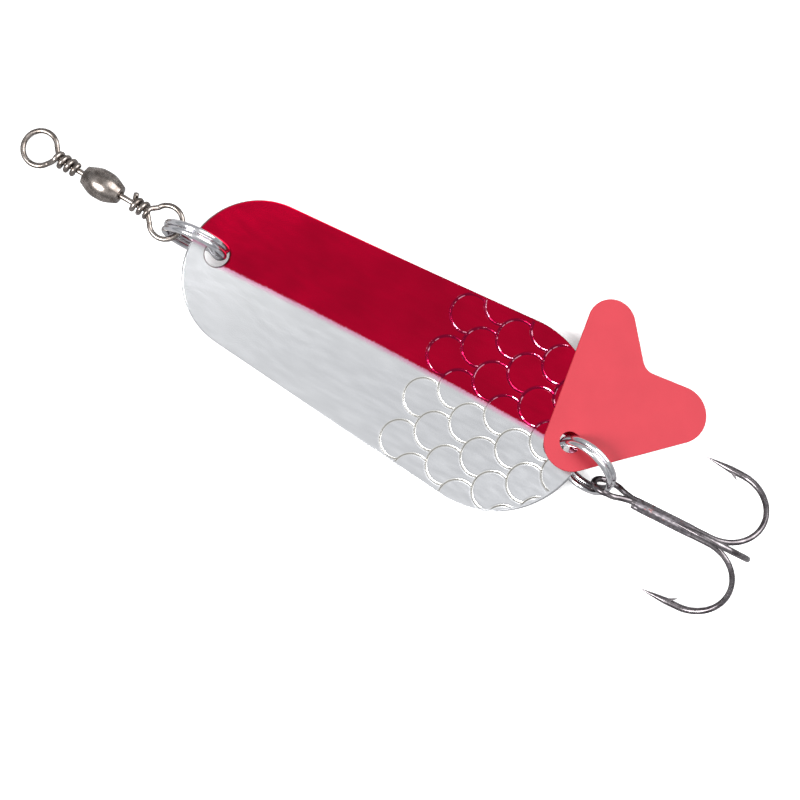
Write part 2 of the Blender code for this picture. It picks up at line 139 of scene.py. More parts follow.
WRAP_PITCH = 1.12 * MM
WRAP_START = 50.0
FRONT_WRAP_TURNS = 3.3
REAR_WRAP_TURNS = 2.86
CUT_END_FLARE = 1.7

# Treble hook: a double hook whose wire also makes the eye, and a single hook brazed to it.
HOOK_WIRE = 0.9 * MM
HOOK_WIRE_OFFSET = 0.545 * MM
HOOK_FROM_LINK = Vector((-0.587, -0.333, -0.05)) * MM
HOOK_AZIMUTH = 2.7
HOOK_RISE = 6.9
HOOK_BEND_X = 17.4 * MM
HOOK_BEND_CENTRE = 6.5 * MM
HOOK_BEND_TURN = 181.0
HOOK_POINT_LENGTH = 5.9 * MM
HOOK_TAPER_LENGTH = 4.2 * MM
HOOK_FORGED_SCALE = 1.15
HOOK_TIP_SCALE = 0.1
HOOK_EYE_RADIUS = 1.85 * MM
HOOK_EYE_X = 0.5 * MM
HOOK_NECK = ((5.4 * MM, 1.0), (4.5 * MM, 1.1), (3.2 * MM, 2.2), (2.1 * MM, 3.5))
HOOK_SHANK_START = 5.0 * MM
BARB_LENGTH = 1.5 * MM
BARB_HEIGHT = 1.15 * MM
BARB_HALF_WIDTH = 0.24 * MM
TOP_HOOK = 90.0
PAINTED_SIDE_HOOK = -30.0
PLATED_SIDE_HOOK = 210.0
BRAZE_START = 5.5 * MM
BRAZE_END = 14.6 * MM
BRAZE_GAP = 0.03 * MM
BRAZE_COAT = 0.06 * MM
BRAZE_SKIN = 0.004 * MM
BRAZE_PIT_DEPTH = 0.035 * MM
BRAZE_PIT_LENGTH = 0.035
BRAZE_PIT_DEG = 26.0
BRAZE_PITS = 46

# Tail flag: a thin tongue with two lobes and a notch between them.
FLAG_AZIMUTH = 72.2
FLAG_SLOPE = 16.5
FLAG_THICKNESS = 0.4 * MM
FLAG_EDGE_ROUND = 0.09 * MM
FLAG_HOLE_RADIUS = 1.6 * MM
FLAG_ROOT = (-0.04 * MM, -0.26 * MM, 4.12 * MM)
FLAG_LONG_LOBE = (17.27 * MM, 8.42 * MM, 3.6 * MM)
FLAG_WIDE_LOBE = (15.15 * MM, -7.99 * MM, 4.32 * MM)
FLAG_NOTCH = (16.02 * MM, -0.02 * MM)
FLAG_NOTCH_RADIUS = 2.3 * MM

# Camera: straight above the lure. The width it sees is that at the blade's height.
CAMERA_DISTANCE = 400 * MM
CAMERA_PLACE = (5.23 * MM, -5.46 * MM, 5 * MM + CAMERA_DISTANCE)
CAMERA_VIEW_WIDTH = 116.8 * MM
CAMERA_SENSOR = 36.0
CAMERA_TURN = radians(29.4)

WIRE_SIDES = 20
SHARP_ANGLE = radians(38)


# ---------------------------------------------------------------- small tools


def linear(code):
    """A #rrggbb sRGB colour as linear RGBA."""
    channels = [int(code[i : i + 2], 16) / 255 for i in (1, 3, 5)]
    return (*[c / 12.92 if c <= 0.04045 else ((c + 0.055) / 1.055) ** 2.4 for c in channels], 1.0)


def shown(sockets, key):
    return next(s for s in sockets if s.enabled and key in (s.name, None))


def add(tree, kind, inputs=(), **settings):
    """A new node. inputs gives each named socket a value, or the node or socket that feeds it."""
    node = tree.nodes.new(kind)
    for name, value in settings.items():
        setattr(node, name, value)
    for key, value in dict(inputs).items():
        target = node.inputs[key] if isinstance(key, int) else shown(node.inputs, key)
        if isinstance(value, bpy.types.Node):
            value = shown(value.outputs, None)
        if isinstance(value, bpy.types.NodeSocket):
            tree.links.new(value, target)
        else:
            target.default_value = value
    return node


def polar(radius, angle):
    """A point of the XY plane, the angle in degrees."""
    return Vector((radius * cos(radians(angle)), radius * sin(radians(angle)), 0))


def spoke(angle):
    """The direction across the X axis at an angle from Y, in degrees."""
    return Vector((0, cos(radians(angle)), sin(radians(angle))))


def spread(start, end, count):
    return [start + (end - start) * i / (count - 1) for i in range(count)]


def ease(t):
    t = min(max(t, 0.0), 1.0)
    return t * t * (3 - 2 * t)


def through(points, per_span):
    """A smooth curve through the points (Catmull-Rom)."""
    ends = [2 * points[0] - points[1], *points, 2 * points[-1] - points[-2]]
    curve = []
    for a, b, c, d in zip(ends, ends[1:], ends[2:], ends[3:]):
        square = 2 * a - 5 * b + 4 * c - d
        cube = 3 * b - a - 3 * c + d
        for step in range(per_span):
            t = step / per_span
            curve.append(0.5 * (2 * b + (c - a) * t + square * t**2 + cube * t**3))
    return [*curve, points[-1]]


def stand(place, x_axis, z_axis):
    """The matrix of a piece's frame, its X along x_axis and its Z as near to z_axis as that allows."""
    x_axis = x_axis.normalized()
    y_axis = z_axis.cross(x_axis).normalized()
    turned = Matrix((x_axis, y_axis, x_axis.cross(y_axis))).transposed().to_4x4()
    return Matrix.Translation(place) @ turned


def joint_place(name):
    return Vector(JOINTS[name]["pos_m"])


def joint_axis(name):
    return Vector(JOINTS[name]["axis"]).normalized()


def clean(mesh, sharp_angle=SHARP_ANGLE):
    """Merges doubles, turns the faces outwards and marks the sharp edges."""
    shape = bmesh.new()
    shape.from_mesh(mesh)
    bmesh.ops.remove_doubles(shape, verts=shape.verts, dist=0.0015 * MM)
    bmesh.ops.recalc_face_normals(shape, faces=shape.faces)
    shape.to_mesh(mesh)
    shape.free()
    mesh.shade_smooth()
    mesh.set_sharp_from_angle(angle=sharp_angle)
    return mesh


def new_object(name, data):
    obj = bpy.data.objects.new(name, data)
    bpy.context.scene.collection.objects.link(obj)
    return obj


def mesh_of(shape, name, finish=None):
    """The mesh of a finished bmesh shape, which is freed."""
    mesh = bpy.data.meshes.new(name)
    shape.to_mesh(mesh)
    shape.free()
    if finish:
        mesh.materials.append(finish)
    return mesh


def baked(obj, name):
    """A plain mesh of what obj's modifiers make, in a new object, with obj removed."""
    graph = bpy.context.evaluated_depsgraph_get()
    mesh = bpy.data.meshes.new_from_object(obj.evaluated_get(graph))
    made = new_object(name, mesh)
    bpy.data.objects.remove(obj)
    return made


def worked(base, tools, operation, name, finish):
    """The base with the tools cut from it or welded to it, in one finish. The tools are used up."""
    for tool in tools:
        step = base.modifiers.new(tool.name, "BOOLEAN")
        step.operation = operation
        step.solver = "EXACT"
        step.object = tool
    made = baked(base, name)
    for tool in tools:
        bpy.data.objects.remove(tool)
    made.data.materials.clear()
    made.data.materials.append(finish)
    clean(made.data)
    return made


def settle(obj, place, body, slot, *nodes):
    """Puts a finished piece in its place in the frame and hands it to its body."""
    obj.data.transform(place)
    obj.matrix_world = Matrix.Identity(4)
    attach(obj, body)
    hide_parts(*nodes)
    return obj


# ---------------------------------------------------------------- geometry node trees


def new_tree(name, sizes):
    """A modifier tree with a geometry input and one named input for each (name, kind, value)."""
    tree = bpy.data.node_groups.new(name, "GeometryNodeTree")
    tree.interface.new_socket("Geometry", in_out="INPUT", socket_type="NodeSocketGeometry")
    tree.interface.new_socket("Geometry", in_out="OUTPUT", socket_type="NodeSocketGeometry")
    for label, kind, value in sizes:
        socket = tree.interface.new_socket(label, in_out="INPUT", socket_type=f"NodeSocket{kind}")
        if value is not None:
            socket.default_value = value
    given = tree.nodes.new("NodeGroupInput")
    return tree, given.outputs


def end_tree(tree, geometry, material):
    """Every tree ends in real geometry with its material."""
    real = add(tree, "GeometryNodeRealizeInstances", {"Geometry": geometry})
    finished = add(tree, "GeometryNodeSetMaterial", {"Geometry": real, "Material": material})
    out = tree.nodes.new("NodeGroupOutput")
    tree.links.new(finished.outputs[0], out.inputs[0])


def run_tree(obj, tree, name, **sizes):
    """Runs a tree on obj and returns the plain mesh that it makes."""
    modifier = obj.modifiers.new(tree.name, "NODES")
    modifier.node_group = tree
    for item in tree.interface.items_tree:
        if item.item_type == "SOCKET" and item.in_out == "INPUT" and item.name in sizes:
            modifier[item.identifier] = sizes[item.name]
    return baked(obj, name)


def arithmetic(tree, operation, *values):
    return add(tree, "ShaderNodeMath", dict(enumerate(values)), operation=operation)


def marked(tree, geometry, name, value):
    """Stores a number at every point under a name."""
    inputs = {"Geometry": geometry, "Name": name, "Value": value}
    kind = "GeometryNodeStoreNamedAttribute"
    return add(tree, kind, inputs, data_type="FLOAT", domain="POINT").outputs[0]


def wire_tree():
    """A round wire swept along a curve, as thick at each point as the point's radius says."""
    tree, given = new_tree(
        "wire_on_path",
        [("Diameter", "Float", EYE_WIRE), ("Sides", "Int", WIRE_SIDES), ("Finish", "Material", None)],
    )
    half = arithmetic(tree, "MULTIPLY", given["Diameter"], 0.5)
    section = add(
        tree, "GeometryNodeCurvePrimitiveCircle", {"Resolution": given["Sides"], "Radius": half}
    )
    swept = add(
        tree,
        "GeometryNodeCurveToMesh",
        {
            "Curve": given["Geometry"],
            "Profile Curve": section,
            "Scale": add(tree, "GeometryNodeInputRadius"),
            "Fill Caps": True,
        },
    )
    end_tree(tree, swept, given["Finish"])
    return tree


def scale_tree():
    """Presses rows of fish-scale arcs into a flat sheet, then bends it. "groove" is 1 in a groove, "lip" is 1
    on its raised edges. The sheet's own "relief" says where it may be pressed."""
    tree, given = new_tree(
        "stamped_scales",
        [
            ("Thickness", "Float", BLADE_THICKNESS),
            ("Bend Radius", "Float", BLADE_BEND_RADIUS),
            ("Arc Radius", "Float", SCALE_RADIUS),
            ("Arc Sweep", "Float", SCALE_SWEEP),
            ("Column Pitch", "Float", SCALE_COLUMN_PITCH),
            ("Row Pitch", "Float", SCALE_ROW_PITCH),
            ("First Column", "Float", SCALE_FIRST_COLUMN),
            ("Shift", "Float", SCALE_SHIFT),
            ("Groove Half Width", "Float", SCALE_GROOVE_HALF),
            ("Lip Reach", "Float", SCALE_LIP_REACH),
            ("Groove Depth", "Float", SCALE_DEPTH),
            ("Lip Height", "Float", SCALE_LIP),
            ("Finish", "Material", None),
        ],
    )
    start = arithmetic(tree, "SUBTRACT", pi, arithmetic(tree, "MULTIPLY", given["Arc Sweep"], 0.5))
    arc_curve = add(
        tree,
        "GeometryNodeCurveArc",
        {
            "Resolution": 40,
            "Radius": given["Arc Radius"],
            "Start Angle": start,
            "Sweep Angle": given["Arc Sweep"],
        },
        mode="RADIUS",
    )
    grids = []
    for columns, rows, offset in SCALE_GRIDS:
        pitch_x = arithmetic(tree, "MULTIPLY", given["Column Pitch"], 2)
        grid = add(
            tree,
            "GeometryNodeMeshGrid",
            {
                "Size X": arithmetic(tree, "MULTIPLY", pitch_x, columns - 1),
                "Size Y": arithmetic(tree, "MULTIPLY", given["Row Pitch"], rows - 1),
                "Vertices X": columns,
                "Vertices Y": rows,
            },
        )
        steps = arithmetic(tree, "MULTIPLY", given["Column Pitch"], columns - 1 + offset)
        place = add(
            tree,
            "ShaderNodeCombineXYZ",
            {
                "X": arithmetic(tree, "ADD", given["First Column"], steps),
                "Y": given["Shift"],
                "Z": given["Thickness"],
            },
        )
        moved = add(tree, "GeometryNodeTransform", {"Geometry": grid, "Translation": place})
        grids.append(moved.outputs[0])
    joined = tree.nodes.new("GeometryNodeJoinGeometry")
    for grid in grids:
        tree.links.new(grid, joined.inputs[0])
    copies = add(tree, "GeometryNodeInstanceOnPoints", {"Points": joined, "Instance": arc_curve})
    real = add(tree, "GeometryNodeRealizeInstances", {"Geometry": copies})
    lines = add(tree, "GeometryNodeCurveToMesh", {"Curve": real})
    near = add(tree, "GeometryNodeProximity", {"Geometry": lines}, target_element="EDGES")
    away = near.outputs["Distance"]
    relief = add(tree, "GeometryNodeInputNamedAttribute", {"Name": "relief"}, data_type="FLOAT")
    allowed = relief.outputs["Attribute"]

    def fade(low, high, start_value, end_value):
        return add(
            tree,
            "ShaderNodeMapRange",
            {"Value": away, "From Min": low, "From Max": high, "To Min": start_value, "To Max": end_value},
            interpolation_type="SMOOTHERSTEP",
        )

    inside = fade(0.0, given["Groove Half Width"], 1.0, 0.0)
    rim = fade(given["Groove Half Width"], given["Lip Reach"], 1.0, 0.0)
    lip = arithmetic(tree, "SUBTRACT", rim, inside)
    lip = arithmetic(tree, "MULTIPLY", lip, allowed)
    groove = arithmetic(tree, "MULTIPLY", inside, allowed)
    height = arithmetic(
        tree,
        "SUBTRACT",
        arithmetic(tree, "MULTIPLY", lip, given["Lip Height"]),
        arithmetic(tree, "MULTIPLY", groove, given["Groove Depth"]),
    )
    sheet = given["Geometry"]
    for label, value in (("groove", groove), ("lip", lip)):
        sheet = marked(tree, sheet, label, value)
    rise = add(tree, "ShaderNodeCombineXYZ", {"Z": height})
    pressed = add(tree, "GeometryNodeSetPosition", {"Geometry": sheet, "Offset": rise})
    flat = add(tree, "ShaderNodeSeparateXYZ", {"Vector": add(tree, "GeometryNodeInputPosition")})
    angle = arithmetic(tree, "DIVIDE", flat.outputs["X"], given["Bend Radius"])
    reach = arithmetic(tree, "SUBTRACT", given["Bend Radius"], flat.outputs["Z"])
    bent = add(
        tree,
        "ShaderNodeCombineXYZ",
        {
            "X": arithmetic(tree, "MULTIPLY", reach, arithmetic(tree, "SINE", angle)),
            "Y": flat.outputs["Y"],
            "Z": arithmetic(
                tree,
                "SUBTRACT",
                BEND_CENTRE_HEIGHT,
                arithmetic(tree, "MULTIPLY", reach, arithmetic(tree, "COSINE", angle)),
            ),
        },
    )
    curved = add(tree, "GeometryNodeSetPosition", {"Geometry": pressed, "Position": bent})
    end_tree(tree, curved, given["Finish"])
    return tree


# ---------------------------------------------------------------- materials


def principled(name):
    material = bpy.data.materials.new(name)
    material.use_nodes = True
    tree = material.node_tree
    return material, tree, tree.nodes["Principled BSDF"]


def where(tree, stretch=(1, 1, 1), turn=(0, 0, 0)):
    """Object coordinates in millimetres, stretched to draw out a pattern."""
    place = add(tree, "ShaderNodeTexCoord").outputs["Object"]
    scale = [1000 * s for s in stretch]
    return add(tree, "ShaderNodeMapping", {"Vector": place, "Scale": scale, "Rotation": turn})


def noise(tree, vector, size_mm, detail=3.0, roughness=0.5):
    """Noise whose lumps are about size_mm across."""
    return add(
        tree,
        "ShaderNodeTexNoise",
        {"Vector": vector, "Scale": 1 / size_mm, "Detail": detail, "Roughness": roughness},
    )


def ramp(tree, value, low, high, start, end, smooth=False):
    kind = "SMOOTHSTEP" if smooth else "LINEAR"
    return add(
        tree,
        "ShaderNodeMapRange",
        {"Value": value, "From Min": low, "From Max": high, "To Min": start, "To Max": end},
        interpolation_type=kind,
    )


def mixed(tree, factor, first, second):
    inputs = {"Factor": factor, "A": first, "B": second}
    return add(tree, "ShaderNodeMix", inputs, data_type="RGBA", clamp_factor=True)


def link_to(tree, shader, **sources):
    """Feeds the shader's sockets from the nodes given, Base_Color for Base Color."""
    for name, source in sources.items():
        tree.links.new(shown(source.outputs, None), shader.inputs[name.replace("_", " ")])


def bumped(tree, shader, height, distance):
    node = add(tree, "ShaderNodeBump", {"Height": height, "Distance": distance, "Strength": 1.0})
    tree.links.new(node.outputs[0], shader.inputs["Normal"])


def lacquer_edge(tree, axis):
    """How far a point lies inside the lacquer's masked edge, below zero where the plate is bare."""
    slope = (MASK_TAIL[1] - MASK_HEAD[1]) / (MASK_TAIL[0] - MASK_HEAD[0])
    offset = MASK_HEAD[1] - slope * MASK_HEAD[0]
    line = arithmetic(tree, "MULTIPLY_ADD", axis.outputs["X"], -slope, axis.outputs["Y"])
    line = arithmetic(tree, "SUBTRACT", line, offset)
    share = arithmetic(tree, "DIVIDE", axis.outputs["X"], MASK_BOW_REACH)
    bow = arithmetic(tree, "SUBTRACT", 1.0, arithmetic(tree, "MULTIPLY", share, share))
    line = arithmetic(tree, "MULTIPLY_ADD", bow, -MASK_BOW, line)
    dust = noise(tree, where(tree), 0.22, 2.0, 0.6)
    waver = noise(tree, where(tree), 3.0, 1.0)
    for shift, reach in ((dust, MASK_DUST), (waver, MASK_WAVER)):
        line = arithmetic(tree, "MULTIPLY_ADD", arithmetic(tree, "SUBTRACT", shift, 0.5), reach, line)
    spared = ramp(tree, axis.outputs["X"], SPARED_END, SPARED_START, SPARED_WIDTH, 0.0)
    return arithmetic(tree, "SUBTRACT", line, spared)


def plate_colour(tree, axis, groove, lip):
    """Satin silver with faint lengthwise polish lines, a little darker towards the tail. The grooves are
    darker olive-brown, and their raised lips are paler."""
    lines = noise(tree, where(tree, (0.04, 1, 1)), 0.5, 1.0)
    clouds = noise(tree, where(tree, (0.4, 1, 1)), 16.0, 1.0)
    plate = mixed(tree, ramp(tree, clouds, 0.3, 0.7, 0, 1), linear("#e9eaec"), linear("#dfe0e3"))
    # Darker towards the tail.
    darker_to_tail = ramp(tree, axis.outputs["X"], -2 * MM, 22 * MM, 0, 0.6, smooth=True)
    plate = mixed(tree, darker_to_tail, plate, linear("#c6c7ca"))
    plate = mixed(tree, ramp(tree, lines, 0.3, 0.8, 0, 0.08), plate, linear("#cfd0d3"))
    # Darker olive-brown in the grooves.
    plate = mixed(tree, ramp(tree, groove, 0.0, 0.8, 0.0, 0.75), plate, linear("#87806f"))
    # Paler and creamier on the raised lips.
    return mixed(tree, ramp(tree, lip, 0.2, 1.0, 0.0, 0.4), plate, linear("#f4f1e8"))


def lacquer_colour(tree, axis, groove, lip):
    """Transparent crimson. It lies dark in the grooves. Its lips carry painted shade in dark magenta, and
    painted glints in pale pink, in patches on the side of the lips that turns towards the head."""
    pool = noise(tree, where(tree), 9.0, 2.0)
    lacquer = mixed(tree, ramp(tree, pool, 0.3, 0.7, 0, 1), linear("#c0002e"), linear("#ab0028"))
    lacquer = mixed(tree, ramp(tree, groove, 0.1, 0.9, 0.0, 0.85), lacquer, linear("#6e0a32"))
    # Painted highlight: pale pink glints painted on the lips where they face the head, in patches.
    outward = add(tree, "ShaderNodeNewGeometry").outputs["Normal"]
    lean = add(tree, "ShaderNodeSeparateXYZ", {"Vector": outward})
    bend = 1 / BLADE_BEND_RADIUS
    facing = arithmetic(tree, "MULTIPLY_ADD", axis.outputs["X"], bend, lean.outputs["X"])
    facing = arithmetic(tree, "MULTIPLY_ADD", lean.outputs["Y"], 0.56, facing)
    towards_head = ramp(tree, facing, -0.01, -0.08, 0.0, 1.0)
    clear = ramp(tree, noise(tree, where(tree), 1.3, 2.0, 0.6), 0.5, 0.58, 0.0, 1.0)
    bright = arithmetic(tree, "MULTIPLY", arithmetic(tree, "MULTIPLY", towards_head, clear), lip)
    # Painted shade: the lips are painted dark magenta, where the lamps would otherwise light them.
    lacquer = mixed(tree, ramp(tree, lip, 0.1, 0.6, 0.0, 0.75), lacquer, linear("#7c0630"))
    return mixed(tree, ramp(tree, bright, 0.1, 0.5, 0.0, 1.0), lacquer, linear("#ffa8c4"))


def blade_finish():
    """Brass, stamped, tumbled and plated satin silver, with one half sprayed in transparent crimson lacquer,
    whose masked edge has a pink mist of fine drops beyond it."""
    material, tree, shader = principled("silver_plated_brass_with_crimson_lacquer")
    place = add(tree, "ShaderNodeTexCoord").outputs["Object"]
    axis = add(tree, "ShaderNodeSeparateXYZ", {"Vector": place})
    groove = add(tree, "ShaderNodeAttribute", attribute_name="groove").outputs["Fac"]
    lip = add(tree, "ShaderNodeAttribute", attribute_name="lip").outputs["Fac"]
    edge = lacquer_edge(tree, axis)
    painted = ramp(tree, edge, -MASK_BLUR, MASK_BLUR, 0.0, 1.0, smooth=True)
    mist = ramp(tree, edge, -MIST_REACH, 0.0, 0.0, 0.8, smooth=True)
    plate = mixed(tree, mist, plate_colour(tree, axis, groove, lip), linear("#e58ab4"))
    colour = mixed(tree, painted, plate, lacquer_colour(tree, axis, groove, lip))
    grain = noise(tree, where(tree, (0.2, 1, 1)), 0.8, 1.0)
    frosted = ramp(tree, grain, 0.3, 0.7, 0.2, 0.24)
    glossy = ramp(tree, grain, 0.3, 0.7, 0.17, 0.21)
    gloss = {"Factor": painted, "A": frosted, "B": glossy}
    rough = add(tree, "ShaderNodeMix", gloss, data_type="FLOAT")
    coat = arithmetic(tree, "MULTIPLY", painted, 0.08)
    link_to(tree, shader, Base_Color=colour, Roughness=rough, Coat_Weight=coat)
    shader.inputs["Metallic"].default_value = 1.0
    shader.inputs["Coat Roughness"].default_value = 0.08
    bumped(tree, shader, noise(tree, where(tree), 0.9, 2.0), 0.003 * MM)
    return material


def metal_finish(name, light, dark, rough, blotch_mm, scratch_mm, scratch_depth):
    """A plated metal: two close shades in blotches, uneven gloss and fine marks."""
    material, tree, shader = principled(name)
    blotch = noise(tree, where(tree), blotch_mm, 3.0, 0.55)
    marks = noise(tree, where(tree, (1, 1, 0.35)), scratch_mm, 3.0, 0.65)
    patches = ramp(tree, blotch, 0.35, 0.65, 0, 1, smooth=True)
    colour = mixed(tree, patches, linear(light), linear(dark))
    link_to(tree, shader, Base_Color=colour, Roughness=ramp(tree, marks, 0.3, 0.7, *rough))
    shader.inputs["Metallic"].default_value = 1.0
    bumped(tree, shader, marks, scratch_depth)
    return material, tree, shader, colour


def ring_finish():
    """Spring steel wire, drawn, coiled and bright nickel plated: white mirror glints, faint draw marks."""
    shades = ("#f1f0f2", "#dddce0")
    return metal_finish("bright_nickel_on_drawn_wire", *shades, (0.08, 0.16), 1.2, 0.25, 0.0015 * MM)[0]


def swivel_finish():
    """Brass wire and a spun brass barrel, tumbled and black nickel plated: grey-brown, rubbed paler."""
    shades = ("#aaa19b", "#7c736d")
    return metal_finish("black_nickel_on_brass", *shades, (0.2, 0.32), 1.1, 0.2, 0.003 * MM)[0]


def hook_finish():
    """Carbon steel wire, bent, forged and black nickel plated: dark and glossy with a cold sheen."""
    shades = ("#918b8e", "#676164")
    return metal_finish("black_nickel_on_forged_steel", *shades, (0.18, 0.3), 1.6, 0.25, 0.002 * MM)[0]


def braze_finish():
    """Silver solder, melted into the valleys between the shanks and plated over: lumpy, grainy and dull, with
    a few brownish-red specks."""
    shades = ("#9a9498", "#706b70")
    material, tree, shader, colour = metal_finish(
        "plated_silver_solder", *shades, (0.36, 0.54), 0.5, 0.22, 0.009 * MM
    )
    specks = noise(tree, where(tree), 0.55, 1.0)
    rust = ramp(tree, specks, 0.68, 0.76, 0, 0.6, smooth=True)
    link_to(tree, shader, Base_Color=mixed(tree, rust, colour, linear("#a2483f")))
    return material


def flag_finish():
    """Soft vinyl sheet, calendered and die cut: an even coral red, finely pebbled, with a low sheen."""
    material, tree, shader = principled("calendered_red_vinyl")
    clouds = noise(tree, where(tree), 5.0, 3.0)
    fine = noise(tree, where(tree), 0.25, 2.0, 0.6)
    colour = mixed(tree, ramp(tree, clouds, 0.3, 0.7, 0, 1), linear("#ae2b37"), linear("#a82834"))
    colour = mixed(tree, ramp(tree, fine, 0.4, 0.75, 0, 0.25), colour, linear("#b43643"))
    link_to(tree, shader, Base_Color=colour, Roughness=ramp(tree, fine, 0.3, 0.7, 0.56, 0.66))
    shader.inputs["IOR"].default_value = 1.4
    bumped(tree, shader, fine, 0.008 * MM)
    return material


def floor_finish():
    """White card, matt and even, that glows a little. Reflections and bounced light see grey card instead."""
    material, tree, shader = principled("white_card")
    tone = noise(tree, where(tree), 60.0, 2.0)
    colour = mixed(tree, ramp(tree, tone, 0.3, 0.7, 0, 1), linear("#f7f7f7"), linear("#f4f4f4"))
    link_to(tree, shader, Base_Color=colour)
    shader.inputs["Roughness"].default_value = 0.9
    shader.inputs["Emission Color"].default_value = linear("#ffffff")
    shader.inputs["Emission Strength"].default_value = 0.35
    path = add(tree, "ShaderNodeLightPath").outputs["Is Camera Ray"]
    grey = add(tree, "ShaderNodeBsdfDiffuse", {"Color": linear("#8f8f90")})
    mix = add(tree, "ShaderNodeMixShader", {0: path, 1: grey, 2: shader})
    tree.links.new(mix.outputs[0], tree.nodes["Material Output"].inputs["Surface"])
    return material


# ---------------------------------------------------------------- blade


def hull(half_length):
    """The blade's outline: stations along it, each with its half width and the outward normal there."""
    head = half_length - BLADE_HEAD_RADIUS
    tail = half_length - BLADE_TAIL_RADIUS
    flare = asin((BLADE_TAIL_RADIUS - BLADE_HEAD_RADIUS) / (head + tail))
    head_touch = -head - BLADE_HEAD_RADIUS * sin(flare)
    tail_touch = tail - BLADE_TAIL_RADIUS * sin(flare)

    def at(x):
        if x < head_touch:
            out = Vector((x + head, sqrt(max(BLADE_HEAD_RADIUS**2 - (x + head) ** 2, 0)), 0))
            return out.y, out.normalized()
        if x > tail_touch:
            out = Vector((x - tail, sqrt(max(BLADE_TAIL_RADIUS**2 - (x - tail) ** 2, 0)), 0))
            return out.y, out.normalized()
        along = (x - head_touch) / (tail_touch - head_touch)
        width = cos(flare) * (BLADE_HEAD_RADIUS + (BLADE_TAIL_RADIUS - BLADE_HEAD_RADIUS) * along)
        return width, Vector((-sin(flare), cos(flare), 0))

    def step(x):
        most = BLADE_FINE_STEP if x > BLADE_FINE_START else BLADE_COARSE_STEP
        ends = ((BLADE_HEAD_RADIUS, x + half_length), (BLADE_TAIL_RADIUS, half_length - x))
        for radius, rim in ends:
            if rim < radius:
                turn = acos(1 - rim / radius) + BLADE_TURN_STEP
                most = min(most, radius * (1 - cos(turn)) - rim)
        return most

    stations = []
    x = -half_length
    while x < 0:
        x += step(x)
        stations.append(x)
    back = half_length
    ending = []
    while back > x + BLADE_COARSE_STEP * 1.5:
        back -= step(back)
        ending.append(back)
    stations += ending[::-1]
    return [(x, *at(x)) for x in stations]


def flat_blade():
    """The unbent blade: rows across it between two rounded edges. "relief" is 1 where scales may be."""
    half_length = BLADE_BEND_RADIUS * asin(BLADE_LENGTH / 2 / (BLADE_BEND_RADIUS - BLADE_THICKNESS))
    rows = hull(half_length)
    quarter = [radians(a) for a in spread(0, 90, BLADE_ROUND_STEPS + 1)]
    round_off = BLADE_EDGE_ROUND
    edge = [(round_off * (1 - sin(a)), BLADE_THICKNESS - round_off * (1 - cos(a))) for a in quarter]
    edge += [(round_off * (1 - cos(a)), round_off * (1 - sin(a))) for a in quarter]
    places = []
    relief = []

    def vert(x, y, z, pressed=0.0):
        places.append((x, y, z))
        relief.append(pressed)
        return len(places) - 1

    top = []
    bottom = []
    bottom_columns = 12
    for x, half, normal in rows:
        inset_x = x - normal.x * round_off
        inset_y = max(half - normal.y * round_off, 0)
        row = []
        for y in spread(-inset_y, inset_y, BLADE_COLUMNS):
            nearness = (half - abs(y)) * normal.y
            row.append(vert(inset_x, y, BLADE_THICKNESS, ease((nearness - round_off) / (0.45 * MM))))
        top.append(row)
        bottom.append([vert(inset_x, y, 0) for y in spread(-inset_y, inset_y, bottom_columns)])
    sides = []
    for side in (-1, 1):
        loops = []
        for inset, height in edge[1:-1]:
            loops.append(
                [vert(x - n.x * inset, side * (half - n.y * inset), height) for x, half, n in rows]
            )
        end = -1 if side > 0 else 0
        loops.insert(0, [row[end] for row in top])
        loops.append([row[end] for row in bottom])
        sides.append(loops)
    faces = []
    for sheet in (top, bottom):
        for row, following in zip(sheet, sheet[1:]):
            for i in range(len(row) - 1):
                faces.append((row[i], following[i], following[i + 1], row[i + 1]))
    for loops in sides:
        for loop, following in zip(loops, loops[1:]):
            for i in range(len(loop) - 1):
                faces.append((loop[i], following[i], following[i + 1], loop[i + 1]))
    for tip, sign in ((0, -1), (-1, 1)):
        cap = [vert(sign * (half_length - inset), 0, height) for inset, height in edge]
        faces += [(top[tip][i], top[tip][i + 1], cap[0]) for i in range(BLADE_COLUMNS - 1)]
        faces += [(bottom[tip][i], bottom[tip][i + 1], cap[-1]) for i in range(bottom_columns - 1)]
        for loops in sides:
            for i in range(len(edge) - 1):
                faces.append((loops[i][tip], loops[i + 1][tip], cap[i + 1], cap[i]))
    mesh = bpy.data.meshes.new("flat_blade")
    mesh.from_pydata(places, [], faces)
    attribute = mesh.attributes.new("relief", "FLOAT", "POINT")
    attribute.data.foreach_set("value", np.array(relief, np.float32))
    return mesh


def hole_cutter(slope):
    """A drill with a countersink at each face of the blade, so that the hole's edges come out broken."""
    chamfer = 0.14 * MM
    half = BLADE_THICKNESS / 2
    profile = [
        (-3 * half, 0),
        (-3 * half, BLADE_HOLE_RADIUS + 2 * half + chamfer),
        (-half + chamfer, BLADE_HOLE_RADIUS),
        (half - chamfer, BLADE_HOLE_RADIUS),
        (3 * half, BLADE_HOLE_RADIUS + 2 * half + chamfer),
        (3 * half, 0),
    ]
    shape = bmesh.new()
    verts = [shape.verts.new((radius, 0, z)) for z, radius in profile]
    edges = [shape.edges.new(pair) for pair in zip(verts, verts[1:])]
    bmesh.ops.spin(
        shape, geom=verts + edges, cent=(0, 0, 0), axis=AXIS_Z, angle=2 * pi, steps=64, use_merge=True
    )
    bmesh.ops.remove_doubles(shape, verts=shape.verts, dist=0.001 * MM)
    bmesh.ops.recalc_face_normals(shape, faces=shape.faces)
    mesh = mesh_of(shape, "drill")
    reach = BLADE_BEND_RADIUS - half
    place = Vector((reach * sin(slope), 0, BEND_CENTRE_HEIGHT - reach * cos(slope)))
    mesh.transform(stand(place, Vector((cos(slope), 0, sin(slope))), AXIS_Z))
    return new_object("drill", mesh)


